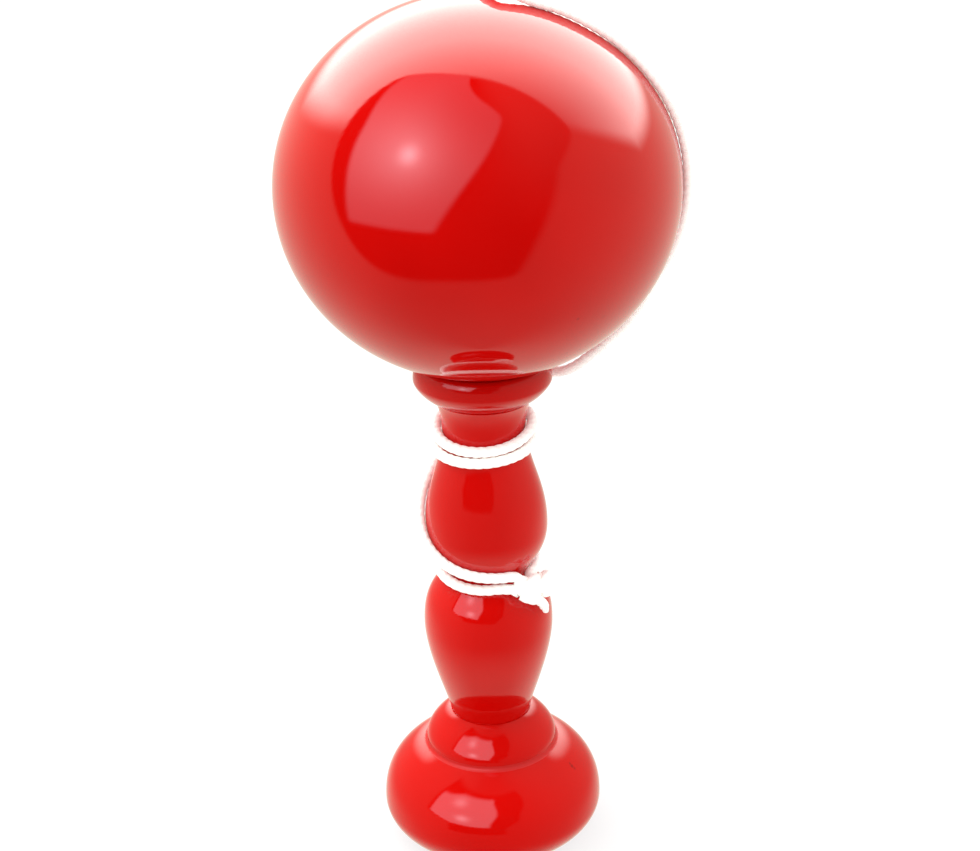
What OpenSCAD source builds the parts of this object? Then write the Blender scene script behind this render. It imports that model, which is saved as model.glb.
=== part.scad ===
// Cup and ball toy: a turned and lacquered handle with a small cup and a
// spike at its top, a larger catching cup as its foot, and a wooden ball
// tied to it by a cotton cord. The ball stands on the small cup.
// Millimetres, +Z up, the origin on the ground under the axis.

/* [Ball] */
// diameter of the ball round its middle
ball_d = 75; // [66:0.5:84]
// height of the ball from pole to pole
ball_h = 70.5; // [62:0.5:80]
// diameter of the hole that catches the spike
socket_d = 11; // [10:0.1:13]
// depth of that hole from the underside of the ball
socket_depth = 47; // [44:0.5:52]
// diameter of the cord's hole through the top
cord_hole_d = 3; // [2.6:0.1:4]
// diameter of the eased mouth of the cord's hole
cord_mouth_d = 8; // [7:0.5:11]
// depth of that eased mouth
cord_mouth_depth = 5; // [4:0.5:8]

/* [Spike] */
// diameter of the spike at its root and of its dowel
spike_d = 9; // [7.5:0.1:9.6]
// diameter of the spike at the end of its taper
spike_tip_d = 5; // [4:0.1:7]
// length of the spike above the small cup
spike_len = 32; // [26:0.5:36]
// length of its dowel inside the stem
spike_dowel = 12; // [8:0.5:18]

/* [Small cup] */
// diameter of the small cup at its widest
small_cup_d = 26.8; // [25.4:0.1:30]
// height of that widest line above the stem
small_cup_swell = 3.9; // [3:0.1:4.6]
// height of the lip above the stem
small_cup_h = 7.2; // [6.6:0.1:8]
// diameter of the lip
small_cup_lip_d = 23.6; // [22:0.1:25]
// thickness of the cup at the middle of its dish
small_cup_floor = 5.5; // [4:0.1:6]
// room between the ball and the dish
seat_room = 0.3; // [0.2:0.05:0.6]

/* [Stem] */
// length of the stem between the foot and the small cup
stem_len = 69.1; // [66:0.1:75]
// diameter where the stem stands on the foot
stem_base_d = 16.1; // [15:0.1:16.4]
// diameter of the lower swelling
lower_bulb_d = 25.9; // [22:0.1:29]
// height of the lower swelling
lower_bulb_z = 20.6; // [18:0.1:22]
// diameter of the waist
waist_d = 17; // [15:0.1:18]
// height of the waist
waist_z = 32.5; // [31:0.1:34]
// diameter of the upper swelling
upper_bulb_d = 24.3; // [21:0.1:27]
// height of the upper swelling
upper_bulb_z = 42; // [40:0.1:44]
// diameter of the neck
neck_d = 16.4; // [15:0.1:18]
// height of the neck
neck_z = 62.7; // [59:0.1:64]
// diameter of the stem under the small cup
stem_top_d = 19.4; // [18:0.1:21]
// diameter of the tenon in the foot
tenon_d = 9; // [7:0.1:11]
// length of the tenon in the foot
tenon_len = 12; // [8:0.5:14]

/* [Foot cup] */
// height of the foot
foot_h = 27.8; // [26.5:0.1:30]
// diameter of the lower tier at its widest
foot_d = 45; // [42:0.1:50]
// height of that widest line
foot_swell_z = 7.2; // [6.5:0.1:9]
// diameter of the flat ring the toy stands on
foot_ring_d = 28.4; // [26.5:0.1:34]
// diameter of the dome's edge where the cove starts
dome_edge_d = 27.8; // [27.6:0.1:30]
// height of the dome's edge
dome_edge_z = 20.2; // [19.2:0.1:20.6]
// diameter of the upper tier
tier_d = 26.7; // [25:0.1:27]
// height of the upper tier's widest line
tier_z = 21.3; // [21:0.1:22.2]
// diameter of the foot's top under the stem
foot_top_d = 16.5; // [16.5:0.1:18]
// diameter of the catching cup's mouth in the underside
catch_d = 23; // [18:0.5:25]
// depth of the catching cup
catch_depth = 8; // [6:0.5:10]

/* [Cord] */
// thickness of the cord
cord_d = 2.1; // [1.8:0.1:2.3]
// room between the cord's turns and the wood
cord_room = 0.2; // [0.1:0.05:0.3]
// diameter of the stopper knot inside the ball
stopper_d = 7.2; // [6:0.1:8]
// height of the stopper knot
stopper_h = 6.5; // [5.5:0.1:8]
// room between the stopper knot and the roof of the ball's hole
stopper_room = 0.3; // [0.2:0.1:1]
// diameter of the knot at the waist
knot_d = 6.2; // [5.4:0.1:6.4]
// diameter of the lower half of that knot
knot_low_d = 4.8; // [4:0.1:5.4]

/* [Hidden] */

lacquer = "#c8140f";
cotton = "#f2eee4";

$fn = 96;
eps = 0.01;
curve_steps = 10;
glue_room = 0.5;

small_cup_base = foot_h + stem_len;
dish_z = small_cup_base + small_cup_floor;
ball_low = dish_z + seat_room;
ball_z = ball_low + ball_h / 2;
roof_z = ball_low + socket_depth;
stopper_top = roof_z - stopper_room;
pole_r = ball_d * ball_d / ball_h / 2;
dish_r = pole_r + seat_room;
catch_r = (catch_d * catch_d / 4 + catch_depth * catch_depth) / catch_depth / 2;
socket_ease = 0.8;
spike_round = 3;

// the turned outlines are spans of cubic curve, each [radius, height]
function bend(a, b, c, d, t) =
    a * pow(1 - t, 3) + b * 3 * t * pow(1 - t, 2) + c * 3 * t * t * (1 - t) + d * pow(t, 3);
function span(a, b, c, d) =
    [for (i = [0 : curve_steps - 1]) bend(a, b, c, d, i / curve_steps)];

// stem, from its own foot up
stem_low = [stem_base_d / 2, 0];
stem_lower = [lower_bulb_d / 2, lower_bulb_z];
stem_waist = [waist_d / 2, waist_z];
stem_upper = [upper_bulb_d / 2, upper_bulb_z];
stem_neck = [neck_d / 2, neck_z];
stem_top = [stem_top_d / 2, stem_len];
stem_line = concat(
    span(stem_low, stem_low + [0.9, 4.2], stem_lower - [0, 7], stem_lower),
    span(stem_lower, stem_lower + [0, 9], stem_waist - [0, 2.7], stem_waist),
    span(stem_waist, stem_waist + [0, 1.6], stem_upper - [0, 5.5], stem_upper),
    span(stem_upper, stem_upper + [0, 8.6], stem_neck - [0, 7.8], stem_neck),
    span(stem_neck, stem_neck + [0, 3.7], stem_top - [0.8, 1.3], stem_top),
    [stem_top]);
stem_table = [for (p = stem_line) [p[1] + foot_h, p[0]]];
function stem_radius(z) = lookup(z, stem_table);

// small cup, from the stem's top up
cup_low = [stem_top_d / 2, 0];
cup_wide = [small_cup_d / 2, small_cup_swell];
cup_lip = [small_cup_lip_d / 2, small_cup_h];
cup_line = concat(
    [[0, 0]],
    span(cup_low, cup_low + [1.6, 0.6], cup_wide - [0, 1], cup_wide),
    span(cup_wide, cup_wide + [0, 1.6], cup_lip + [1.1, 0], cup_lip),
    [cup_lip, [0, small_cup_h]]);

// foot, from the ground up
foot_ring = [foot_ring_d / 2, 0];
foot_wide = [foot_d / 2, foot_swell_z];
dome_edge = [dome_edge_d / 2, dome_edge_z];
tier = [tier_d / 2, tier_z];
foot_top = [foot_top_d / 2, foot_h];
cove_h = tier_z - dome_edge_z;
foot_line = concat(
    [[0, 0]],
    span(foot_ring, foot_ring + [3.4, 0], foot_wide - [0, 4], foot_wide),
    span(foot_wide, foot_wide + [0, 7], dome_edge + [4.6, -3], dome_edge),
    span(dome_edge, dome_edge + [-0.5, 0.3 * cove_h], tier - [0, 0.55 * cove_h], tier),
    span(tier, tier + [0, 2.3], foot_top + [2.3, -1.5], foot_top),
    [foot_top, [0, foot_h]]);

// spike, from the dish up
tip = [spike_tip_d / 2, spike_len - spike_round];
spike_line = concat(
    [[0, small_cup_base - spike_dowel - dish_z], [spike_d / 2, small_cup_base - spike_dowel - dish_z]],
    [[spike_d / 2, seat_room]],
    span(tip, tip + [0, 1.8], [1.2, spike_len], [0, spike_len]),
    [[0, spike_len]]);

// tubes swept along a list of points, each ring carried on from the last
function unit(v) = v / norm(v);
function heading(p, i) = unit(p[min(i + 1, len(p) - 1)] - p[max(i - 1, 0)]);
function carry(u, t) = unit(u - t * (u * t));
function sides_of(p, u, i = 0) =
    i == len(p) ? [] : let (v = carry(u, heading(p, i))) concat([v], sides_of(p, v, i + 1));
function ring(c, t, u, n) =
    [for (k = [0 : n - 1]) c + cord_d / 2 * (u * cos(k * 360 / n) + cross(t, u) * sin(k * 360 / n))];

module tube(p, start_side, n) {
    side = sides_of(p, start_side);
    points = [for (i = [0 : len(p) - 1]) each ring(p[i], heading(p, i), side[i], n)];
    last = (len(p) - 1) * n;
    walls = [for (i = [0 : len(p) - 2], k = [0 : n - 1])
        each [[i * n + k, (i + 1) * n + k, i * n + (k + 1) % n],
              [i * n + (k + 1) % n, (i + 1) * n + k, (i + 1) * n + (k + 1) % n]]];
    near_end = [for (k = [1 : n - 2]) [0, k, k + 1]];
    far_end = [for (k = [1 : n - 2]) [last, last + k + 1, last + k]];
    polyhedron(points, concat(walls, near_end, far_end));
}

// the cord's middle where it lies on the turned wood, clear of it above and below too
function lying_radius(z) =
    max([for (f = [-75 : 15 : 75]) stem_radius(z + cord_d / 2 * sin(f)) + cord_d / 2 * cos(f)]) + cord_room;
function on_stem(angle, z) = let (r = lying_radius(z)) [r * cos(angle), r * sin(angle), z];
function ease(t) = let (s = min(max(t, 0), 1)) s * s * (3 - 2 * s);

// two turns round the neck, angles counted from +X as seen from above
neck_first = 91.1;
neck_second = 87.2;
neck_first_lean = 1.9;
neck_second_lean = 0.6;
loop_rings = 24;
function neck_height(a) =
    let (s = ease((a - 360) / 180))
    neck_first + (neck_second - neck_first) * s
    + (neck_first_lean + (neck_second_lean - neck_first_lean) * s) * sin(a);
neck_turns = [for (i = [0 : 2 * loop_rings])
    let (a = 90 + i * 360 / loop_rings) on_stem(a, neck_height(a))];
neck_start_way = unit([1, 0, 0.5]);
neck_end_way = unit([-1, 0, -0.4]);
neck_start = neck_turns[0] + cord_d * neck_start_way;
neck_end = neck_turns[2 * loop_rings] + cord_d * neck_end_way;
neck_route = concat([neck_start], neck_turns, [neck_end]);

// the knot in front of the waist, to the right
knot_angle = 310;
knot_out = 12.4;
knot_z = 59.8;
knot_at = [knot_out * cos(knot_angle), knot_out * sin(knot_angle), knot_z];
knot_low_at = knot_at + [1.7, 0.4, -2.1];
tail_places = [[9.6, -9.2, 58.4], [10.1, -9, 56.6], [10.7, -8.6, 54.8], [11.2, -8.2, 53]];

// one turn round the waist, both ends going into the knot
waist_first = 331;
waist_last = 648;
waist_mid_z = 60.9;
waist_lean = 1.3;
waist_low_angle = 265;
waist_rings = 21;
function waist_height(a) = waist_mid_z - waist_lean * cos(a - waist_low_angle);
waist_turn = [for (i = [0 : waist_rings])
    let (a = waist_first + (waist_last - waist_first) * i / waist_rings)
    on_stem(a, waist_height(a))];
waist_route = concat([knot_at + [0.3, 2.2, -0.5]], waist_turn, [knot_at + [-1.8, -0.2, -0.7]]);

// the cord from the neck to the knot, each [angle, height]
drop_places = [[116, 85.6], [128, 84], [140, 82.2], [152, 79.9], [163, 77.6], [173, 75.3], [183, 73],
               [193, 70.8], [203, 68.8], [214, 67.1], [226, 65.6], [239, 64.4], [253, 63.6], [268, 63.1],
               [284, 62.7], [298, 62.3]];
drop_route = concat([neck_end, neck_end + neck_end_way], [for (p = drop_places) on_stem(p[0], p[1])],
                    [knot_at + [-1.8, 0, 1.6]]);

// the cord from the stopper knot up through the ball, over it and down to the neck
rise_places = [[0, 0, 154], [0, 0, 159], [0, 0, 164], [0, 0, 168], [0, 0, 170], [0.5, -0.4, 172],
               [1.6, -1.2, 173.6], [3.4, -2.6, 174.5], [5.5, -3.8, 174.6], [10, -5, 173.5], [15.5, -5, 171.5],
               [20.5, -5, 169], [25, -4.5, 166], [29, -4, 162.5], [32.5, -3.5, 158.3], [35.3, -2.8, 153.8],
               [37.3, -2, 149], [38.6, -1.3, 144], [39.1, -0.6, 138.5], [38.8, 0, 133.5], [37.8, 0.6, 128.5],
               [36, 1, 123.5], [33.6, 1.5, 119], [30.7, 2, 114.5], [27.6, 2.2, 110], [25.2, 2.6, 107.4],
               [22.8, 3.2, 104.8], [20.5, 4, 102.6], [18.4, 5, 100.6], [16, 6.2, 99], [13.5, 8.2, 98],
               [11, 9.8, 97.2], [8, 10.8, 96.4], [5.2, 10.4, 95.4]];
rise_route = concat([[0, 0, stopper_top]], rise_places, [neck_start + neck_start_way, neck_start]);

// the least clear space between turns that are not neighbours on one tube
function clear_space(p, apart) =
    min([for (i = [0 : len(p) - 1], j = [i + apart : 1 : len(p) - 1]) norm(p[i] - p[j])]) - cord_d;
echo(neck_clear = clear_space(neck_route, 8), waist_clear = clear_space(waist_route, 8),
     rise_clear = clear_space(rise_route, 6), ball_z = ball_z, top = ball_z + ball_h / 2);

module foot_cup() {
    color(lacquer)
    difference() {
        rotate_extrude() polygon(foot_line);
        // catching cup
        translate([0, 0, catch_depth - catch_r]) sphere(catch_r);
        // mortise for the stem
        translate([0, 0, foot_h - tenon_len - glue_room])
            cylinder(d = tenon_d, h = tenon_len + glue_room + eps);
    }
}

module stem() {
    color(lacquer)
    difference() {
        union() {
            translate([0, 0, foot_h]) rotate_extrude() polygon(concat([[0, 0]], stem_line, [[0, stem_len]]));
            translate([0, 0, foot_h - tenon_len]) cylinder(d = tenon_d, h = tenon_len + eps);
        }
        // mortise for the spike's dowel
        translate([0, 0, small_cup_base - spike_dowel - glue_room])
            cylinder(d = spike_d, h = spike_dowel + glue_room + eps);
    }
}

module small_cup() {
    color(lacquer)
    difference() {
        translate([0, 0, small_cup_base]) rotate_extrude() polygon(cup_line);
        // dish that the ball rests in
        translate([0, 0, dish_z + dish_r]) sphere(dish_r);
        // hole for the spike's dowel
        translate([0, 0, small_cup_base - eps]) cylinder(d = spike_d, h = small_cup_h);
    }
}

module spike() {
    color(lacquer)
    translate([0, 0, dish_z]) rotate_extrude() polygon(spike_line);
}

module ball() {
    color(lacquer)
    translate([0, 0, ball_z])
    difference() {
        scale([1, 1, ball_h / ball_d]) sphere(d = ball_d);
        // hole for the spike, its edge eased
        translate([0, 0, -ball_h / 2 - eps]) cylinder(d = socket_d, h = socket_depth + eps);
        translate([0, 0, -ball_h / 2 - eps])
            cylinder(d1 = socket_d + 2 * socket_ease, d2 = socket_d, h = socket_ease + eps);
        // hole for the cord, its mouth opened wide
        cylinder(d = cord_hole_d, h = ball_h);
        translate([0, 0, ball_h / 2 - cord_mouth_depth])
            cylinder(d1 = cord_hole_d, d2 = cord_mouth_d, h = cord_mouth_depth + eps);
    }
}

module stopper_knot() {
    color(cotton)
    translate([0, 0, stopper_top - stopper_h / 2])
    intersection() {
        sphere(d = stopper_d);
        cylinder(d = stopper_d, h = stopper_h, center = true);
    }
}

module cord_rise() {
    color(cotton) tube(rise_route, [1, 0, 0], 8);
}

module neck_winding() {
    color(cotton) tube(neck_route, [0, 0, 1], 6);
}

module cord_drop() {
    color(cotton) tube(drop_route, [0, 0, 1], 8);
}

module waist_winding() {
    color(cotton) tube(waist_route, [0, 0, 1], 6);
}

module waist_knot() {
    color(cotton) {
        translate(knot_at) sphere(d = knot_d);
        translate(knot_low_at) sphere(d = knot_low_d);
        tube(tail_places, [1, 0, 0], 8);
    }
}

foot_cup();
stem();
small_cup();
spike();
ball();
stopper_knot();
cord_rise();
neck_winding();
cord_drop();
waist_winding();
waist_knot();
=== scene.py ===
import bpy
from math import acos, cos, exp, pi, radians, sin, sqrt
from mathutils import Matrix, Vector


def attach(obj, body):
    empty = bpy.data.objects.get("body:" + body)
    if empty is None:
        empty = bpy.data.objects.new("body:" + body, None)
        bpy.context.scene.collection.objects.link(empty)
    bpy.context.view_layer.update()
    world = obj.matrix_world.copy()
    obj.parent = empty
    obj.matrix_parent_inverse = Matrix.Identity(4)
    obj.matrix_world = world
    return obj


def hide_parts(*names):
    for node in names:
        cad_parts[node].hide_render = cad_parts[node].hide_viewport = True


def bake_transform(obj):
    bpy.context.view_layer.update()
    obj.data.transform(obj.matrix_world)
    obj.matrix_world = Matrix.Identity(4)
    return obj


# cup and ball toy, standing with its ball on the small cup
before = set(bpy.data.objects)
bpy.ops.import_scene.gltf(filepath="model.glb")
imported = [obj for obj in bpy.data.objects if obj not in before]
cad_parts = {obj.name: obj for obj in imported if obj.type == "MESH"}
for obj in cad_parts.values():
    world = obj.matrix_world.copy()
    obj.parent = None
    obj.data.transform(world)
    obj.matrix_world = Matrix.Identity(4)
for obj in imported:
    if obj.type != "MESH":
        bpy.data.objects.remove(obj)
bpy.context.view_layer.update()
scene = bpy.context.scene
mm = 0.001  # outlines and routes are in millimetres, Blender is in metres
print("frame loaded", sorted(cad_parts))


def linear(hexColour):
    # sRGB hex to the linear colour that shaders take
    parts = [int(hexColour.lstrip("#")[i:i + 2], 16) / 255 for i in (0, 2, 4)]
    return tuple(c / 12.92 if c <= 0.04045 else ((c + 0.055) / 1.055) ** 2.4 for c in parts) + (1.0,)


def addNode(tree, kind, inputs=None, links=None, stops=(), **settings):
    # one node, its settings, its socket values, what feeds it and, on a ramp, its colours
    made = tree.nodes.new(kind)
    for name, value in settings.items():
        setattr(made, name, value)
    for name, value in (inputs or {}).items():
        made.inputs[name].default_value = value
    for name, source in (links or {}).items():
        tree.links.new(source, made.inputs[name])
    for index, (place, colour) in enumerate(stops):
        made.color_ramp.elements[index].position = place
        made.color_ramp.elements[index].color = linear(colour)
    return made


def newMaterial(name):
    material = bpy.data.materials.new(name)
    material.use_nodes = True
    material.node_tree.nodes.clear()
    return material, material.node_tree


def place(name, mesh):
    made = bpy.data.objects.new(name, mesh)
    scene.collection.objects.link(made)
    return made


def ease(t):
    t = min(max(t, 0.0), 1.0)
    return t * t * (3 - 2 * t)


# camera: a short step back, looking down on the foot, rolled a little as the photograph is
cameraPlace = {"at": (0.0, -0.330, 0.2326), "down": 23.31, "turn": -0.21, "roll": -1.36,
               "focalPixels": 1857.6, "pictureWidth": 980, "sensor": 36.0}

cameraData = bpy.data.cameras.new("camera")
cameraData.sensor_width = cameraPlace["sensor"]
cameraData.sensor_fit = "HORIZONTAL"
cameraData.lens = cameraPlace["sensor"] * cameraPlace["focalPixels"] / cameraPlace["pictureWidth"]
cameraData.clip_start = 0.01
camera = place("camera", cameraData)
camera.matrix_world = (Matrix.Translation(cameraPlace["at"])
                       @ Matrix.Rotation(radians(cameraPlace["turn"]), 4, "Z")
                       @ Matrix.Rotation(radians(90 - cameraPlace["down"]), 4, "X")
                       @ Matrix.Rotation(radians(cameraPlace["roll"]), 4, "Z"))
scene.camera = camera
scene.view_settings.view_transform = "Standard"
print("camera set")


def bend(a, b, c, d, t):
    # one point of a cubic curve
    return tuple(p * (1 - t) ** 3 + 3 * q * t * (1 - t) ** 2 + 3 * r * t * t * (1 - t) + s * t ** 3
                 for p, q, r, s in zip(a, b, c, d))


def span(a, b, c, d, steps=28):
    # points along one curve from a to d, with b and c as its handles
    return [bend(a, b, c, d, i / steps) for i in range(steps)]


def shift(point, dr, dz):
    return (point[0] + dr, point[1] + dz)


# turned outlines in millimetres, (radius, height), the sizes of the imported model
stemSize = {"base": 27.8, "length": 69.1, "baseWidth": 16.1, "lower": (25.9, 20.6), "waist": (17.0, 32.5),
            "upper": (24.3, 42.0), "neck": (16.4, 62.7), "topWidth": 19.4, "tenon": 9.0,
            "tenonLength": 12.0, "mortise": 12.5, "jointEase": 0.22}


def stemOutline(size):
    base = size["base"]
    low = (size["baseWidth"] / 2, base)
    lower, waist, upper, neck = ((size[k][0] / 2, base + size[k][1])
                                 for k in ("lower", "waist", "upper", "neck"))
    top = (size["topWidth"] / 2, base + size["length"])
    side = (span(low, shift(low, 0.9, 4.2), shift(lower, 0, -7), lower)
            + span(lower, shift(lower, 0, 9), shift(waist, 0, -2.7), waist)
            + span(waist, shift(waist, 0, 1.6), shift(upper, 0, -5.5), upper)
            + span(upper, shift(upper, 0, 8.6), shift(neck, 0, -7.8), neck)
            + span(neck, shift(neck, 0, 3.7), shift(top, -0.8, -1.3), top))
    broken = size["jointEase"]  # the arris under the small cup is broken, so the joint shows as a line
    return side[:-1] + [shift(top, -0.1, -broken), shift(top, -broken, -0.06),
                        shift(top, -1.4 * broken, 0)]


stemSide = stemOutline(stemSize)


def stemRadius(z):
    # radius of the stem at a height, straight between outline points
    for (r0, z0), (r1, z1) in zip(stemSide, stemSide[1:]):
        if z0 <= z <= z1:
            return r0 + (r1 - r0) * (z - z0) / max(z1 - z0, 1e-6)
    return stemSide[0][0] if z < stemSide[0][1] else stemSide[-1][0]


ballSize = {"width": 75.0, "height": 70.5, "low": 102.7, "socket": 11.0, "socketDepth": 47.0,
            "cordHole": 3.0, "cordMouth": 7.8, "mouthDepth": 4.8, "ease": 0.37, "bareBelow": 3.0}
ballMiddle = ballSize["low"] + ballSize["height"] / 2

# cord: its route in millimetres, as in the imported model, from the stopper knot to the knot at the waist;
# a frayed end thins to endShare, and beyond clearOfHole the cord settles on the ball from up to hover
cordSize = {"diameter": 2.1, "room": 0.06, "step": 0.32, "sides": 18, "strands": 3, "lay": 5.2,
            "strandDepth": 0.13, "riseTop": 149.4, "knot": (7.97, -9.5, 59.8), "knotStrand": 2.0,
            "knotStep": 0.25, "lobeRound": 0.8, "endShare": 0.55, "clearOfHole": 6, "hover": 0.75}
risePlaces = [(0, 0, 154), (0, 0, 159), (0, 0, 164), (0, 0, 168), (0, 0, 170), (0.5, -0.4, 172),
              (1.6, -1.2, 173.6), (3.4, -2.6, 174.5), (5.5, -3.8, 174.6), (10, -5, 173.5),
              (15.5, -5, 171.5), (20.5, -5, 169), (25, -4.5, 166), (29, -4, 162.5), (32.5, -3.5, 158.3),
              (35.3, -2.8, 153.8), (37.3, -2, 149), (38.6, -1.3, 144), (39.1, -0.6, 138.5),
              (38.8, 0, 133.5), (37.8, 0.6, 128.5), (36, 1, 123.5), (33.6, 1.5, 119), (30.7, 2, 114.5),
              (27.6, 2.2, 110), (25.2, 2.6, 107.4), (22.8, 3.2, 104.8), (20.5, 4, 102.6), (18.4, 5, 100.6),
              (16, 6.2, 99), (13.5, 8.2, 98), (11, 9.8, 97.2), (8, 10.8, 96.4), (5.2, 10.4, 95.4)]
# angle round the stem and height
dropPlaces = [(116, 85.6), (128, 84), (140, 82.2), (152, 79.9), (163, 77.6), (173, 75.3), (183, 73),
              (193, 70.8), (203, 68.8), (214, 67.1), (226, 65.6), (239, 64.4), (253, 63.6), (268, 63.1),
              (284, 62.7), (298, 62.3)]
# the turns: their height, tilt and the angles they run through, in steps
neckSize = {"height": 90.85, "drop": 3.5, "tilt": 1.9, "flatter": 1.3, "lean": 0.45,
            "angles": (90, 811, 10), "above": (2.3, 9.85, 94.0), "below": (-2.0, 9.6, 86.95)}
waistSize = {"height": 60.9, "tilt": 1.3, "lowAt": 265, "angles": (331, 649, 10)}


def onStem(angle, z):
    # where the cord's middle lies on the wood
    half = cordSize["diameter"] / 2
    r = max(stemRadius(z + half * sin(radians(f))) + half * cos(radians(f)) for f in range(-75, 76, 5))
    r += cordSize["room"]
    return (r * cos(radians(angle)), r * sin(radians(angle)), z)


def neckHeight(size, angle):
    # two turns, the second lower and flatter
    second = ease((angle - 360) / 180)
    tilt = size["tilt"] - size["flatter"] * second
    return (size["height"] - size["drop"] * second + tilt * sin(radians(angle))
            + size["lean"] * cos(radians(angle)))


def waistHeight(size, angle):
    return size["height"] - size["tilt"] * cos(radians(angle - size["lowAt"]))


def settle(point):
    # lets the cord down on to the ball where it runs just above it
    a, c = ballSize["width"] / 2, ballSize["height"] / 2
    x, y, z = point[0], point[1], point[2] - ballMiddle
    level = sqrt((x * x + y * y) / a ** 2 + z * z / c ** 2)
    normal = Vector((x / a ** 2, y / a ** 2, z / c ** 2)).normalized()
    gap = (level - 1) * Vector((x, y, z)).length / level
    want = cordSize["diameter"] / 2 + cordSize["room"]
    near = sqrt(x * x + y * y) > cordSize["clearOfHole"] and gap < want + cordSize["hover"]
    return tuple(Vector(point) - normal * (gap - want)) if near else point


def smoothLine(points, step):
    # even steps along a smooth curve through the points
    fine, cuts = [], 24
    p = [Vector(q) for q in points]
    for i in range(len(p) - 1):
        a, b, c, d = p[max(i - 1, 0)], p[i], p[i + 1], p[min(i + 2, len(p) - 1)]
        for k in range(cuts):
            t = k / cuts
            fine.append(0.5 * (2 * b + (c - a) * t + (2 * a - 5 * b + 4 * c - d) * t * t
                               + (3 * b - a - 3 * c + d) * t ** 3))
    fine.append(p[-1])
    line, left = [fine[0]], step
    for a, b in zip(fine, fine[1:]):
        run = (b - a).length
        while run >= left:
            a = a + (b - a) * (left / run)
            line.append(a)
            run = (b - a).length
            left = step
        left -= run
    return line


def lineLength(line):
    return sum((b - a).length for a, b in zip(line, line[1:]))


def ropeMesh(name, line, diameter, size, closed=False, taper=0.0):
    # twisted cotton: strands lie round each other, so the section has that many lobes and turns as it goes
    count, sides = len(line), size["sides"]
    verts, faces, uvs = [], [], []
    side, run = None, 0.0
    for i, point in enumerate(line):
        before = line[i - 1] if i else (line[-2] if closed else line[0])
        after = line[i + 1] if i < count - 1 else (line[1] if closed else line[-1])
        way = (after - before).normalized()
        if side is None:
            side = way.orthogonal().normalized()
        side = (side - way * side.dot(way)).normalized()
        other = way.cross(side)
        if i:
            run += (point - line[i - 1]).length
        twist = 2 * pi * run / size["lay"]
        shrink = 1.0
        if taper:  # an end that thins out
            fromEnd = (count - 1 - i) * (line[1] - line[0]).length
            shrink = min(1.0, size["endShare"] + (1 - size["endShare"]) * fromEnd / taper)
        for k in range(sides):
            a = 2 * pi * k / sides
            lobe = abs(cos(size["strands"] / 2 * (a - twist)))
            lobe **= size["lobeRound"]
            r = diameter / 2 * shrink * (1 - size["strandDepth"] + size["strandDepth"] * lobe)
            verts.append((point + (side * cos(a) + other * sin(a)) * r) * mm)
            uvs.append((run, k / sides))
    rings = count if closed else count - 1
    for i in range(rings):
        j = (i + 1) % count
        for k in range(sides):
            n = (k + 1) % sides
            faces.append((i * sides + k, i * sides + n, j * sides + n, j * sides + k))
    if not closed:
        faces.append(tuple(reversed(range(sides))))
        faces.append(tuple((count - 1) * sides + k for k in range(sides)))
    mesh = bpy.data.meshes.new(name)
    mesh.from_pydata([tuple(v) for v in verts], [], faces)
    layer = mesh.uv_layers.new(name="along")
    for loop in mesh.loops:
        layer.data[loop.index].uv = uvs[loop.vertex_index]
    mesh.shade_smooth()
    mesh.update()
    return mesh


neckTurns = [onStem(a, neckHeight(neckSize, a)) for a in range(*neckSize["angles"])]
dropLine = [onStem(a, z) for a, z in dropPlaces]
waistTurn = [onStem(a, waistHeight(waistSize, a)) for a in range(*waistSize["angles"])]
knotAt = Vector(cordSize["knot"])
intoKnot = [tuple(knotAt + Vector(d)) for d in ((-1.3, 0.2, 1.5), (0.6, 1.1, 0.6))]
outOfTurn = [tuple(knotAt + Vector(d)) for d in ((-3.2, -0.1, -0.3), (-1.6, -0.9, -0.9))]
cordPlaces = ([(0, 0, cordSize["riseTop"])] + [settle(p) for p in risePlaces] + [neckSize["above"]]
              + neckTurns + [neckSize["below"]] + dropLine + intoKnot + waistTurn + outOfTurn)
cordLine = smoothLine(cordPlaces, cordSize["step"])
cottonCord = place("cottonCord", ropeMesh("cottonCord", cordLine, cordSize["diameter"], cordSize))
print("cord", round(lineLength(cordLine), 1), "mm,", len(cordLine), "rings")


def knotLine(middle, reach, depth, facing, spin, step):
    # a pulled-tight overhand knot, its strands going over and under three times
    facing = Vector(facing).normalized()
    across = facing.orthogonal().normalized()
    up = facing.cross(across)
    points, cuts = [], 96
    for i in range(cuts + 1):
        t = 2 * pi * i / cuts
        x, y, z = sin(t) + 2 * sin(2 * t), cos(t) - 2 * cos(2 * t), -sin(3 * t)
        u, v = x * cos(spin) - y * sin(spin), x * sin(spin) + y * cos(spin)
        points.append(Vector(middle) + (across * u + up * v) * reach / 3 + facing * z * depth)
    return smoothLine(points, step)[:-1]


def joined(name, meshes):
    # several meshes as one piece
    verts, faces, uvs = [], [], []
    for mesh in meshes:
        base = len(verts)
        verts += [tuple(v.co) for v in mesh.vertices]
        for face in mesh.polygons:
            faces.append(tuple(base + k for k in face.vertices))
            uvs += [tuple(mesh.uv_layers[0].data[k].uv) for k in face.loop_indices]
    whole = bpy.data.meshes.new(name)
    whole.from_pydata(verts, [], faces)
    layer = whole.uv_layers.new(name="along")
    for index, uv in enumerate(uvs):
        layer.data[index].uv = uv
    whole.shade_smooth()
    whole.update()
    return place(name, whole)


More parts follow.
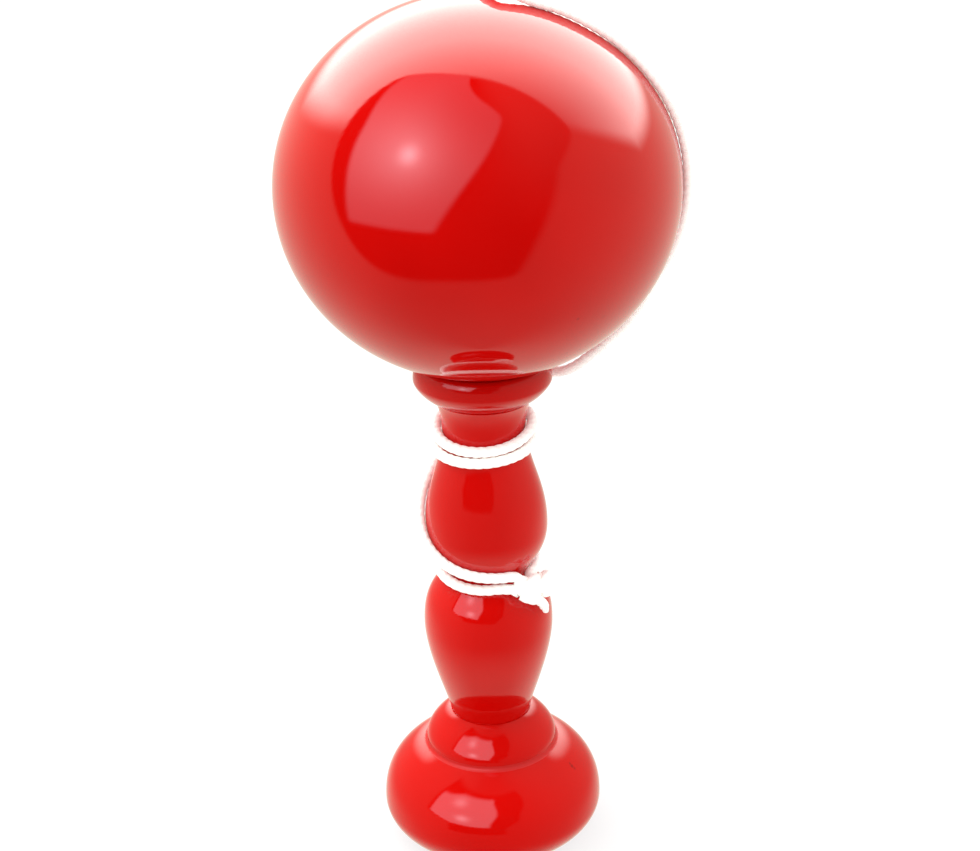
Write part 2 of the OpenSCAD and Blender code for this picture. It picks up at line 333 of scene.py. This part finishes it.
# each knot: loops of three crossings drawn tight, as (shift, facing, spin), and a short end left over
waistKnotSize = {"at": cordSize["knot"], "reach": 2.1, "depth": 1.1, "fray": 1.6,
                 "loops": [((0, 0, 0), (0.4, -0.9, 0.2), 0.5),
                           ((2.7, 2.6, -0.5), (0.85, -0.5, 0.1), 1.4)],
                 "end": [(-1.6, -1.2, -1.0), (0.2, -1.4, -1.8), (1.9, -0.4, -2.6), (2.8, 0.6, -4.0),
                         (3.2, 1.2, -5.2), (3.4, 1.5, -6.3)]}
stopperKnotSize = {"at": (0, 0, 146.6), "reach": 2.5, "depth": 1.35, "fray": 1.2,
                   "loops": [((0, 0, 0), (0, 0, 1), 0.0)],
                   "end": [(0, 0, 2.7), (0.1, 0, 0.4), (0.4, 0.3, -2.1), (1.0, 0.6, -3.7)]}


def tiedKnot(name, size):
    middle, strand, step = Vector(size["at"]), cordSize["knotStrand"], cordSize["knotStep"]
    end = smoothLine([middle + Vector(d) for d in size["end"]], step)
    ropes = [ropeMesh(name + "End", end, strand, cordSize, taper=size["fray"])]
    for offset, facing, spin in size["loops"]:
        loop = knotLine(middle + Vector(offset), size["reach"], size["depth"], facing, spin, step)
        ropes.append(ropeMesh(name + "Loop", loop, strand, cordSize, closed=True))
    return joined(name, ropes)


waistKnot = tiedKnot("waistKnot", waistKnotSize)
stopperKnot = tiedKnot("stopperKnot", stopperKnotSize)

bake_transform(cottonCord)
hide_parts("cord_rise", "neck_winding", "cord_drop", "waist_winding")
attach(waistKnot, "handle")
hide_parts("waist_knot")
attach(stopperKnot, "cord_end")
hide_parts("stopper_knot")
cordPieces = (cottonCord, waistKnot, stopperKnot)
print("cord and knots made")


# bleached cotton, twisted: matt white and soft at its edge, with a faint painted glow that lifts its shaded
# side towards white
def twistedCotton(name):
    material, tree = newMaterial(name)
    uv = addNode(tree, "ShaderNodeUVMap", uv_map="along")
    # yarns cross the cord at a slant, drawn 0.35 mm apart, coarser than the real 0.25 mm so that they show
    slant = addNode(tree, "ShaderNodeMapping", inputs={"Scale": (1 / 0.35 / 2, 3.0, 1.0)},
                    links={"Vector": uv.outputs["UV"]})
    yarn = addNode(tree, "ShaderNodeTexWave", wave_type="BANDS", bands_direction="DIAGONAL",
                   inputs={"Scale": 1.0, "Distortion": 1.2, "Detail": 2.0, "Detail Scale": 2.0},
                   links={"Vector": slant.outputs["Vector"]})
    where = addNode(tree, "ShaderNodeTexCoord")
    # loose fibres in tufts of 0.22 mm
    fibre = addNode(tree, "ShaderNodeTexNoise", links={"Vector": where.outputs["Object"]},
                    inputs={"Scale": 1 / (0.22 * mm), "Detail": 3.0, "Roughness": 0.6})
    tone = addNode(tree, "ShaderNodeValToRGB", stops=((0.25, "#F7F4EC"), (0.62, "#FFFEFA")),
                   links={"Fac": fibre.outputs["Fac"]})
    lumps = addNode(tree, "ShaderNodeMath", operation="ADD",
                    links={0: yarn.outputs["Fac"], 1: fibre.outputs["Fac"]})
    relief = addNode(tree, "ShaderNodeBump", inputs={"Strength": 0.35, "Distance": 0.08 * mm},
                     links={"Height": lumps.outputs["Value"]})
    # the emission is painted light: a faint white glow that fills in the shade on the cord
    shader = addNode(tree, "ShaderNodeBsdfPrincipled",
                     inputs={"Roughness": 0.92, "IOR": 1.46, "Sheen Weight": 0.25, "Sheen Roughness": 0.5,
                             "Emission Color": linear("#FFFDF6"), "Emission Strength": 0.12},
                     links={"Base Color": tone.outputs["Color"], "Normal": relief.outputs["Normal"]})
    addNode(tree, "ShaderNodeOutputMaterial", links={"Surface": shader.outputs["BSDF"]})
    return material


# gloss lacquer over turned beech: deep even red, mirror-clear in front and white at its edges
def redLacquer(name, coat):
    material, tree = newMaterial(name)
    where = addNode(tree, "ShaderNodeTexCoord")
    # the coat is a shade thinner here and there, over patches of about 25 mm
    patch = addNode(tree, "ShaderNodeTexNoise", inputs={"Scale": 1 / (25 * mm), "Detail": 2.0},
                    links={"Vector": where.outputs["Object"]})
    tone = addNode(tree, "ShaderNodeValToRGB", links={"Fac": patch.outputs["Fac"]},
                   stops=((0.35, coat["tones"][0]), (0.65, coat["tones"][1])))
    worn = None
    for spot, reach, depth in coat["nicks"]:
        away = addNode(tree, "ShaderNodeVectorMath", operation="DISTANCE",
                       inputs={1: [c * mm for c in spot]}, links={0: where.outputs["Object"]})
        near = addNode(tree, "ShaderNodeMapRange", links={"Value": away.outputs["Value"]},
                       inputs={"From Min": 0.4 * reach * mm, "From Max": reach * mm,
                               "To Min": depth, "To Max": 0.0})
        worn = near if worn is None else addNode(tree, "ShaderNodeMath", operation="MAXIMUM",
                                                 links={0: worn.outputs[0], 1: near.outputs[0]})
    # a nick is darker and duller; sockets 6 and 7 are the mix's two colours, 2 and 3 its two numbers
    stain = addNode(tree, "ShaderNodeMix", data_type="RGBA", inputs={7: linear(coat["nickColour"])},
                    links={0: worn.outputs[0], 6: tone.outputs["Color"]})
    dull = addNode(tree, "ShaderNodeMix", data_type="FLOAT", links={0: worn.outputs[0]},
                   inputs={2: coat["rough"], 3: coat["nickRough"]})
    # the brushed coat settles in soft waves some 7 mm long, under a fine skin of 1.2 mm
    swell = addNode(tree, "ShaderNodeTexNoise", inputs={"Scale": 1 / (7 * mm), "Detail": 1.0},
                    links={"Vector": where.outputs["Object"]})
    skin = addNode(tree, "ShaderNodeTexNoise", inputs={"Scale": 1 / (1.2 * mm), "Detail": 2.0},
                   links={"Vector": where.outputs["Object"]})
    height = addNode(tree, "ShaderNodeMath", operation="MULTIPLY_ADD", inputs={1: 0.02},
                     links={0: skin.outputs["Fac"], 2: swell.outputs["Fac"]})
    relief = addNode(tree, "ShaderNodeBump", inputs={"Strength": coat["wave"], "Distance": 0.2 * mm},
                     links={"Height": height.outputs["Value"]})
    shader = addNode(tree, "ShaderNodeBsdfPrincipled", inputs={"IOR": 1.5},
                     links={"Base Color": stain.outputs[2], "Roughness": dull.outputs[0],
                            "Normal": relief.outputs["Normal"]})
    addNode(tree, "ShaderNodeOutputMaterial", links={"Surface": shader.outputs["BSDF"]})
    return material


# bare beech inside the bored holes: pale, fine brown flecks along the grain, no gloss
def boredBeech(name):
    material, tree = newMaterial(name)
    where = addNode(tree, "ShaderNodeTexCoord")
    # flecks 0.8 mm wide and 12 mm long
    along = addNode(tree, "ShaderNodeMapping", links={"Vector": where.outputs["Object"]},
                    inputs={"Scale": (1 / (0.8 * mm), 1 / (0.8 * mm), 1 / (12 * mm))})
    fleck = addNode(tree, "ShaderNodeTexNoise", inputs={"Scale": 1.0, "Detail": 3.0, "Roughness": 0.6},
                    links={"Vector": along.outputs["Vector"]})
    tone = addNode(tree, "ShaderNodeValToRGB", stops=((0.35, "#A8794C"), (0.6, "#D6B080")),
                   links={"Fac": fleck.outputs["Fac"]})
    relief = addNode(tree, "ShaderNodeBump", inputs={"Strength": 0.3, "Distance": 0.1 * mm},
                     links={"Height": fleck.outputs["Fac"]})
    shader = addNode(tree, "ShaderNodeBsdfPrincipled", inputs={"Roughness": 0.75, "IOR": 1.5},
                     links={"Base Color": tone.outputs["Color"], "Normal": relief.outputs["Normal"]})
    addNode(tree, "ShaderNodeOutputMaterial", links={"Surface": shader.outputs["BSDF"]})
    return material


# the coat of each piece; a nick is its place in millimetres, how wide and how deep
ballCoat = {"tones": ("#B60402", "#BD0503"), "rough": 0.05, "wave": 0.05,
            "nickColour": "#9A0301", "nickRough": 0.1,
            "nicks": [((16.68, -29.34, 122.59), 0.45, 0.7), ((21.26, -25.38, 121.39), 0.6, 0.35)]}
# the handle's red is set lighter than the ball's: painted light that makes up for the handle getting less
# light than the ball
handleCoatPaintedLighter = {"tones": ("#BE0502", "#C60603"), "rough": 0.05, "wave": 0.12,
              "nickColour": "#9A0301", "nickRough": 0.1,
              "nicks": [((15.96, -7.34, 17.57), 0.4, 0.8), ((16.35, -7.65, 17.16), 0.55, 1.0),
                        ((16.86, -7.79, 16.67), 0.4, 0.8)]}
coveCoat = {**handleCoatPaintedLighter, "rough": 0.35}  # pooled in the foot's cove, so duller there
ballLacquer = redLacquer("redLacquerOnBall", ballCoat)
handleLacquerPaintedLighter = redLacquer("redLacquerPaintedLighterOnHandle", handleCoatPaintedLighter)
coveLacquer = redLacquer("redLacquerInCove", coveCoat)
bareBeech = boredBeech("boredBeech")
cotton = twistedCotton("twistedCotton")
for piece in cordPieces:
    piece.data.materials.append(cotton)
print("materials made")


def turned(name, outline, body, node, materials, secondAt=None, around=192):
    # a piece off the lathe: the outline swept round the axis, closed on itself or on the axis;
    # secondAt says where the second material shows
    outline = [p for i, p in enumerate(outline)
               if i == 0 or abs(p[0] - outline[i - 1][0]) + abs(p[1] - outline[i - 1][1]) > 1e-4]
    rows, verts, faces, slots = [], [], [], []
    for r, z in outline:
        if r < 1e-6:
            rows.append([len(verts)])
            verts.append((0, 0, z * mm))
        else:
            rows.append(list(range(len(verts), len(verts) + around)))
            turns = [2 * pi * k / around for k in range(around)]
            verts += [(r * cos(a) * mm, r * sin(a) * mm, z * mm) for a in turns]
    pairs = list(zip(range(len(rows)), range(1, len(rows))))
    if len(rows[0]) > 1:
        pairs.append((len(rows) - 1, 0))
    for i, j in pairs:
        low, high = rows[i], rows[j]
        second = bool(secondAt and secondAt(*outline[i]) and secondAt(*outline[j]))
        for k in range(around):
            n = (k + 1) % around
            if len(low) == 1:
                face = (low[0], high[n], high[k])
            elif len(high) == 1:
                face = (low[k], low[n], high[0])
            else:
                face = (low[k], low[n], high[n], high[k])
            faces.append(face)
            slots.append(int(second))
    mesh = bpy.data.meshes.new(name)
    mesh.from_pydata(verts, [], faces)
    for material in materials:
        mesh.materials.append(material)
    for face, slot in zip(mesh.polygons, slots):
        face.material_index = slot
    mesh.shade_smooth()
    mesh.set_sharp_from_angle(angle=radians(32))  # an arris of more than 32 degrees stays crisp
    mesh.update()
    made = place(name, mesh)
    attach(made, body)
    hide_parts(node)
    return made


def turnBall(size):
    a, c, low = size["width"] / 2, size["height"] / 2, size["low"]
    middle, top, roof = low + c, low + size["height"], low + size["socketDepth"]
    hole, mouth, socket = size["cordHole"] / 2, size["cordMouth"] / 2, size["socket"] / 2
    first, last = -acos((socket + size["ease"]) / a), acos(mouth / a)
    cuts = 160
    angles = [first + (last - first) * i / cuts for i in range(cuts + 1)]
    shell = [(a * cos(t), middle + c * sin(t)) for t in angles]
    edge, brim = shell[0][1], shell[-1][1]
    funnel = [(mouth - 0.25, brim - 0.12), (hole + 0.15, top - size["mouthDepth"] + 0.3),
              (hole, top - size["mouthDepth"])]
    outline = ([(hole, roof), (socket, roof), (socket, edge + size["ease"]), (socket + 0.12, edge + 0.14)]
               + shell + funnel)
    return turned("ball", outline, "ball", "ball", [ballLacquer, bareBeech],
                  secondAt=lambda r, z: r <= socket + 0.01 and z < top - size["bareBelow"], around=256)


ball = turnBall(ballSize)

# the dish has the curve of the ball's foot, with 0.3 mm of room
smallCupSize = {"base": 96.9, "stem": 19.4, "wide": (26.8, 3.9), "lip": (23.6, 7.4), "floor": 5.65,
                "bore": 9.0, "dish": ballSize["width"] ** 2 / ballSize["height"] / 2 + 0.3,
                "jointEase": 0.22}


def turnSmallCup(size):
    base, dish = size["base"], size["dish"]
    low = (size["stem"] / 2, base)
    wide = (size["wide"][0] / 2, base + size["wide"][1])
    lip = (size["lip"][0] / 2, base + size["lip"][1])
    bore, floor = size["bore"] / 2, base + size["floor"]
    rise = lip[1] - 0.12 - floor
    edge = sqrt(2 * dish * rise - rise * rise)
    broken = size["jointEase"]
    under = span(low, shift(low, 1.6, 0.6), shift(wide, 0, -1), wide)
    over = span(wide, shift(wide, 0, 1.6), shift(lip, 1.1, 0), lip)
    cuts = 40
    radii = [edge + (bore - edge) * i / cuts for i in range(cuts + 1)]
    bowl = [(r, floor + dish - sqrt(dish ** 2 - r ** 2)) for r in radii]
    outline = ([(bore, base), (low[0] - 1.4 * broken, base), (low[0] - broken, base + 0.05)]
               + [p for p in under if p[1] > base + 0.12] + over + [lip] + bowl)
    # the small cup takes the ball's darker red: painted shade for the shadow of the ball above it
    return turned("smallCup", outline, "handle", "small_cup", [ballLacquer])


smallCup = turnSmallCup(smallCupSize)

spikeSize = {"foot": 84.9, "dish": 102.4, "width": 9.0, "tip": 5.0, "length": 32.0, "round": 3.0,
             "root": 0.3}


def turnSpike(size):
    top = size["dish"] + size["length"]
    tip = (size["tip"] / 2, top - size["round"])
    root = (size["width"] / 2, size["dish"] + size["root"])
    cuts = 12
    taper = (tip[0] - root[0]) / cuts
    rise = (tip[1] - root[1]) / cuts
    sides = [(root[0] + taper * i, root[1] + rise * i) for i in range(cuts)]
    nose = span(tip, shift(tip, 0, 1.8), (1.2, top), (0, top)) + [(0, top)]
    outline = [(0, size["foot"]), (root[0], size["foot"])] + sides + nose
    return turned("spike", outline, "handle", "spike", [handleLacquerPaintedLighter], around=96)


spike = turnSpike(spikeSize)


def turnStem(size):
    base, tenon = size["base"], size["tenon"] / 2
    top, foot = base + size["length"], base - size["tenonLength"]
    deep = top - size["mortise"]
    outline = ([(0, foot), (tenon, foot), (tenon, base)] + stemSide
               + [(tenon, top), (tenon, deep), (0, deep)])
    return turned("stem", outline, "handle", "stem", [handleLacquerPaintedLighter])


stem = turnStem(stemSize)

footSize = {"height": 27.8, "ring": 28.4, "wide": (45.0, 7.2), "dome": (27.8, 20.2), "tier": (26.7, 21.3),
            "top": 16.5, "catch": 23.0, "catchDepth": 8.0, "mortise": 9.0, "mortiseDepth": 12.5}


def turnFoot(size):
    ring = (size["ring"] / 2, 0)
    wide, dome, tier = ((size[k][0] / 2, size[k][1]) for k in ("wide", "dome", "tier"))
    top = (size["top"] / 2, size["height"])
    cove = tier[1] - dome[1]
    mouth, deep = size["catch"] / 2, size["catchDepth"]
    hollow = (mouth ** 2 + deep ** 2) / deep / 2
    mortise, floor = size["mortise"] / 2, size["height"] - size["mortiseDepth"]
    cuts = 40
    radii = [mouth * i / cuts for i in range(cuts)]
    bowl = [(r, deep - hollow + sqrt(hollow ** 2 - r ** 2)) for r in radii]
    side = (span(ring, shift(ring, 3.4, 0), shift(wide, 0, -4), wide)
            + span(wide, shift(wide, 0, 7), shift(dome, 4.6, -3), dome, 40)
            + span(dome, shift(dome, -0.5, 0.3 * cove), shift(tier, 0, -0.55 * cove), tier)
            + span(tier, shift(tier, 0, 2.3), shift(top, 2.3, -1.5), top))
    outline = (bowl + [(mouth - 0.1, 0.18), (mouth + 0.15, 0)] + side
               + [top, (mortise, top[1]), (mortise, floor), (0, floor)])
    return turned("footCup", outline, "handle", "foot_cup", [handleLacquerPaintedLighter, coveLacquer],
                  secondAt=lambda r, z: dome[1] - 0.05 <= z <= tier[1] + 0.05 and r > mortise + 1)


footCup = turnFoot(footSize)
print("turned pieces made")


# floor: white acrylic sheet on a light table, matt, so evenly lit from below that shadows hardly show
floorSize = {"half": 3.0, "height": -0.0002, "colour": "#C4C4C2", "glow": 1.15, "shadowLost": 0.7}


def litAcrylic(name, size):
    material, tree = newMaterial(name)
    where = addNode(tree, "ShaderNodeTexCoord")
    tooth = addNode(tree, "ShaderNodeTexNoise", inputs={"Scale": 1 / (4 * mm), "Detail": 2.0},
                    links={"Vector": where.outputs["Object"]})
    relief = addNode(tree, "ShaderNodeBump", inputs={"Strength": 0.03, "Distance": 0.2 * mm},
                     links={"Height": tooth.outputs["Fac"]})
    sheet = addNode(tree, "ShaderNodeBsdfPrincipled", links={"Normal": relief.outputs["Normal"]},
                    inputs={"Base Color": linear(size["colour"]), "Roughness": 0.95, "IOR": 1.49})
    glow = addNode(tree, "ShaderNodeEmission", inputs={"Strength": size["glow"]})
    rays = addNode(tree, "ShaderNodeLightPath")
    share = addNode(tree, "ShaderNodeMath", operation="MULTIPLY", inputs={1: size["shadowLost"]},
                    links={0: rays.outputs["Is Camera Ray"]})
    both = addNode(tree, "ShaderNodeMixShader",
                   links={0: share.outputs["Value"], 1: sheet.outputs["BSDF"],
                          2: glow.outputs["Emission"]})
    addNode(tree, "ShaderNodeOutputMaterial", links={"Surface": both.outputs["Shader"]})
    return material


def layFloor(size):
    h, z = size["half"], size["height"]
    mesh = bpy.data.meshes.new("floorSheet")
    mesh.from_pydata([(-h, -h, z), (h, -h, z), (h, h, z), (-h, h, z)], [], [(0, 1, 2, 3)])
    mesh.materials.append(litAcrylic("litAcrylic", size))
    made = place("floorSheet", mesh)
    made.visible_glossy = False


layFloor(floorSize)

# the room that the gloss mirrors, as brightness by azimuth (0 in front, right positive) and elevation in
# degrees: a warm light tent, broad panels over and behind the toy, the tent's dark mouth in front and a
# cool window beyond it; the handle and the foot stand lower than the ball and see it from other places.
# An upright edge is its azimuth at eye level, its lean, then steps as (how far, from, over).
# A slow change such as wallTurn is (from, over), and a dip is (how far, from, over). The ball's mouthTop is
# (start, lean, bow) by how far a direction points forward and aside, its mouthCorner (rise, middle, width).
roomTints = {"tent": "#FFF8E6", "panel": "#FFFCF6", "window": "#FAF5FF"}
ballRoom = {"middle": (0, 0, 0.138), "radius": 0.62,
            "wallFront": 0.3, "wallBack": 0.92, "wallTurn": (25, 130), "wallRight": 12,
            "floorFront": 0.38, "floorBack": 0.8, "floorTurn": (40, 100), "floorFrom": (40, 30),
            "panelGlow": 3.4, "panelFall": 7.6, "panelMost": 6.2, "panelLow": 13.5,
            "panelLeft": {"slope": 0.4, "reach": 139, "most": 139, "soft": 14},
            "panelRight": {"slope": 0.7, "reach": 105, "most": 75, "soft": 10},
            "mouthLeft": (-83, -0.62), "mouthRight": (36.5, 0.45, (14, 22, 18)), "mouthSidesTo": 60,
            "mouthTop": (0.1, 0.28, -0.3), "mouthLow": -36, "mouthCorner": (22, -15, 60),
            "mouthGlow": 0.02, "mouthSide": 0.25, "sideFrom": (-10, 55), "sideUp": (-10, 70),
            "windowLeft": (-73, -0.25, (-12, 35, 30)), "windowRight": (-20, 0.55, (-75, 55, 35)),
            "windowBow": 0.0035, "windowLow": -6.5, "windowGlow": 0.9, "windowMiddle": 2.4,
            "windowAt": (-52, 35), "windowSpread": (38, 25),
            "lamps": [((-43, 34), 5.0, 3.5), ((-43, 34), 1.5, 9)]}
handleRoom = {"middle": (0, 0, 0.05), "radius": 5.0,
              "wallFront": 0.22, "wallBack": 0.5, "wallTurn": (10, 100),
              "wallLow": 0.5, "lowTurn": (70, 80), "lowFrom": (4, 24),
              "floorFront": 0.65, "floorBack": 1.15, "floorTurn": (40, 90), "floorFrom": (28, 32),
              "panelGlow": 4.0, "panelFrom": 122, "panelSlope": 157,
              "mouthLeft": (-46, 0, (-28, 5, 10), (-5, 15, 40)),
              "mouthRight": (12, 0, (16, 2, 18), (16, 20, 35)),
              "mouthGlow": 0.02, "mouthLow": 3, "mouthTop": 64,
              "windowFrame": 4, "windowRight": (-20, 0, (8, 10, 25), (-3, 38, 15)),
              "windowLow": 11.8, "lowDip": (-4, 50, 15), "windowTop": 58, "topDip": (-10, 45, 30),
              "windowGlow": 2.1, "lamps": [((-34, 20), 3.5, 4), ((-45, 46), 2.5, 5)]}
footRoom = {**handleRoom, "radius": 4.0, "wallFront": 0.17, "wallBack": 0.41, "mouthLow": -7,
            "windowLow": 7.5, "windowRight": (-4, 0, (8, 10, 25), (-3, 38, 15))}


def inside(distance, softness):
    # 1 inside an edge and 0 outside it, soft between, over that many degrees
    return ease(distance / softness + 0.5)


def slowly(change, angle):
    start, over = change
    return ease((angle - start) / over)


def blend(first, second, share):
    return first + (second - first) * share


def edgeAt(edge, el):
    start, lean, *steps = edge
    return start + lean * el + sum(far * slowly(change, el) for far, *change in steps)


def lampGlow(room, az, el):
    # soft spots in the window, a little wider than high
    return sum(power * exp(-((el - lampEl) ** 2 + 0.7 * (az - lampAz) ** 2) / (2 * wide ** 2))
               for (lampAz, lampEl), power, wide in room["lamps"])


def ballGlow(room, az, el):
    # the brightness of the tent, of the panels and of the window in one direction
    turn = abs(az)
    front = cos(radians(az)) * cos(radians(el))
    side = sin(radians(az)) * cos(radians(el))
    wallAt = turn if az < 0 else turn + room["wallRight"]
    wall = blend(room["wallFront"], room["wallBack"], slowly(room["wallTurn"], wallAt))
    ground = blend(room["floorFront"], room["floorBack"], slowly(room["floorTurn"], turn))
    tent = blend(wall, ground, slowly(room["floorFrom"], -el))
    edge = room["panelLeft"] if az < 0 else room["panelRight"]
    low = edge["slope"] * min(max(0, edge["reach"] - turn), edge["most"])
    cover = inside(el - room["panelLow"] - low, edge["soft"])
    panel = max(0, min(room["panelMost"], room["panelGlow"] - room["panelFall"] * front))
    start, lean, bow = room["mouthTop"]
    over = inside(front - start - lean * side - bow * min(side, 0) ** 2, 0.04)
    if el < room["mouthSidesTo"]:
        over *= inside(az - edgeAt(room["mouthLeft"], el), 5)
        over *= inside(edgeAt(room["mouthRight"], el) - az, 8)
    rise, middle, wide = room["mouthCorner"]
    mouth = over * inside(el - room["mouthLow"] - rise * ((az - middle) / wide) ** 4, 5)
    aside = slowly(room["sideFrom"], az) * slowly(room["sideUp"], el)
    dim = room["mouthGlow"] + room["mouthSide"] * aside
    right = edgeAt(room["windowRight"], el) + room["windowBow"] * el * el
    pane = over * inside(az - edgeAt(room["windowLeft"], el), 4) * inside(right - az, 5)
    pane *= inside(el - room["windowLow"], 3)
    away = sum(((a - b) / c) ** 2 for a, b, c in zip((az, el), room["windowAt"], room["windowSpread"]))
    window = room["windowGlow"] + room["windowMiddle"] * exp(-away) + lampGlow(room, az, el)
    tent = (tent * (1 - cover) * (1 - mouth) + dim * mouth) * (1 - pane)
    return tent, panel * cover * (1 - mouth) * (1 - pane), window * pane


def handleGlow(room, az, el):
    turn = abs(az)
    wall = blend(room["wallFront"], room["wallBack"], slowly(room["wallTurn"], turn))
    wall += room["wallLow"] * slowly(room["lowTurn"], turn) * slowly(room["lowFrom"], -el)
    ground = blend(room["floorFront"], room["floorBack"], slowly(room["floorTurn"], turn))
    tent = blend(wall, ground, slowly(room["floorFrom"], -el))
    cover = inside(el + turn - room["panelSlope"], 9) * inside(turn - room["panelFrom"], 14)
    left = edgeAt(room["mouthLeft"], el)
    mouth = inside(az - left, 4) * inside(edgeAt(room["mouthRight"], el) - az, 6)
    mouth *= inside(el - room["mouthLow"], 3) * inside(room["mouthTop"] - el, 6)
    low, top = (room[edge] + room[dip][0] * slowly(room[dip][1:], -az)
                for edge, dip in (("windowLow", "lowDip"), ("windowTop", "topDip")))
    pane = inside(az - left - room["windowFrame"], 3) * inside(edgeAt(room["windowRight"], el) - az, 5)
    pane *= inside(el - low, 1.5) * inside(top - el, 6)
    window = room["windowGlow"] + lampGlow(room, az, el)
    tent = (tent * (1 - cover) * (1 - mouth) + room["mouthGlow"] * mouth) * (1 - pane)
    return tent, room["panelGlow"] * cover * (1 - mouth), window * pane


def glowByPlace(name):
    # gives light without stopping any, so one room can stand inside the other
    material, tree = newMaterial(name)
    bright = addNode(tree, "ShaderNodeAttribute", attribute_name="glow")
    glow = addNode(tree, "ShaderNodeEmission", links={"Color": bright.outputs["Color"]})
    clear = addNode(tree, "ShaderNodeBsdfTransparent")
    both = addNode(tree, "ShaderNodeAddShader",
                   links={0: glow.outputs["Emission"], 1: clear.outputs["BSDF"]})
    addNode(tree, "ShaderNodeOutputMaterial", links={"Surface": both.outputs["Shader"]})
    material.cycles.emission_sampling = "NONE"
    return material


def hangRoom(name, room, glowAt, mirroredBy, cell=1.5):
    # a dome with a point every so many degrees, seen only in the gloss of the pieces named
    across, up = round(360 / cell), round(180 / cell)
    verts, faces, glow = [], [], []
    x, y, z = room["middle"]
    # each tint over its own green, so that the brightness stays as given
    tints = [[c / linear(tint)[1] for c in linear(tint)] for tint in roomTints.values()]
    for j in range(up + 1):
        el = -90 + 180 * j / up
        flat = room["radius"] * cos(radians(el))
        for i in range(across):
            az = -180 + 360 * i / across
            verts.append((x + flat * sin(radians(az)), y - flat * cos(radians(az)),
                          z + room["radius"] * sin(radians(el))))
            parts = glowAt(room, az, el)
            glow += [sum(part * tint[c] for part, tint in zip(parts, tints)) for c in range(4)]
    for j in range(up):
        for i in range(across):
            n = (i + 1) % across
            faces.append((j * across + i, j * across + n, (j + 1) * across + n, (j + 1) * across + i))
    mesh = bpy.data.meshes.new(name)
    mesh.from_pydata(verts, [], faces)
    layer = mesh.attributes.new("glow", "FLOAT_COLOR", "POINT")
    layer.data.foreach_set("color", glow)
    mesh.materials.append(glowByPlace(name))
    made = place(name, mesh)
    made.visible_camera = False
    made.visible_diffuse = False
    made.visible_transmission = False
    made.visible_shadow = False
    lit = bpy.data.collections.new(name + "Lit")
    for piece in mirroredBy:
        lit.objects.link(piece)
    made.light_linking.receiver_collection = lit


hangRoom("ballRoom", ballRoom, ballGlow, [ball])
hangRoom("handleRoom", handleRoom, handleGlow, [stem, smallCup, spike, *cordPieces])
hangRoom("footRoom", footRoom, handleGlow, [footCup])

# soft light that the gloss doesn't show: a wide panel up to the left and behind, and the tent all round
panelSize = {"size": (1.2, 1.0), "at": (-0.35, 0.25, 0.75), "aim": (0, 0, 0.09), "power": 9.0}
tentSize = {"walls": 1.4, "wallColour": "#FFFFFF", "ground": "#FFFEFB"}


def hangPanel(size):
    data = bpy.data.lights.new("softPanel", "AREA")
    data.shape = "RECTANGLE"
    data.size, data.size_y = size["size"]
    data.energy = size["power"]
    made = place("softPanel", data)
    made.location = size["at"]
    made.rotation_euler = (Vector(size["aim"]) - Vector(size["at"])).to_track_quat("-Z", "Y").to_euler()
    made.visible_glossy = False


def lightTent(size):
    world = bpy.data.worlds.new("lightTent")
    scene.world = world
    world.use_nodes = True
    tree = world.node_tree
    tree.nodes.clear()
    rays = addNode(tree, "ShaderNodeLightPath")
    walls = addNode(tree, "ShaderNodeBackground",
                    inputs={"Color": linear(size["wallColour"]), "Strength": size["walls"]})
    ground = addNode(tree, "ShaderNodeBackground",
                     inputs={"Color": linear(size["ground"]), "Strength": 1.0})
    both = addNode(tree, "ShaderNodeMixShader",
                   links={0: rays.outputs["Is Camera Ray"], 1: walls.outputs["Background"],
                          2: ground.outputs["Background"]})
    addNode(tree, "ShaderNodeOutputWorld", links={"Surface": both.outputs["Shader"]})
    world.cycles_visibility.glossy = False


hangPanel(panelSize)
lightTent(tentSize)
print("floor and lights set")
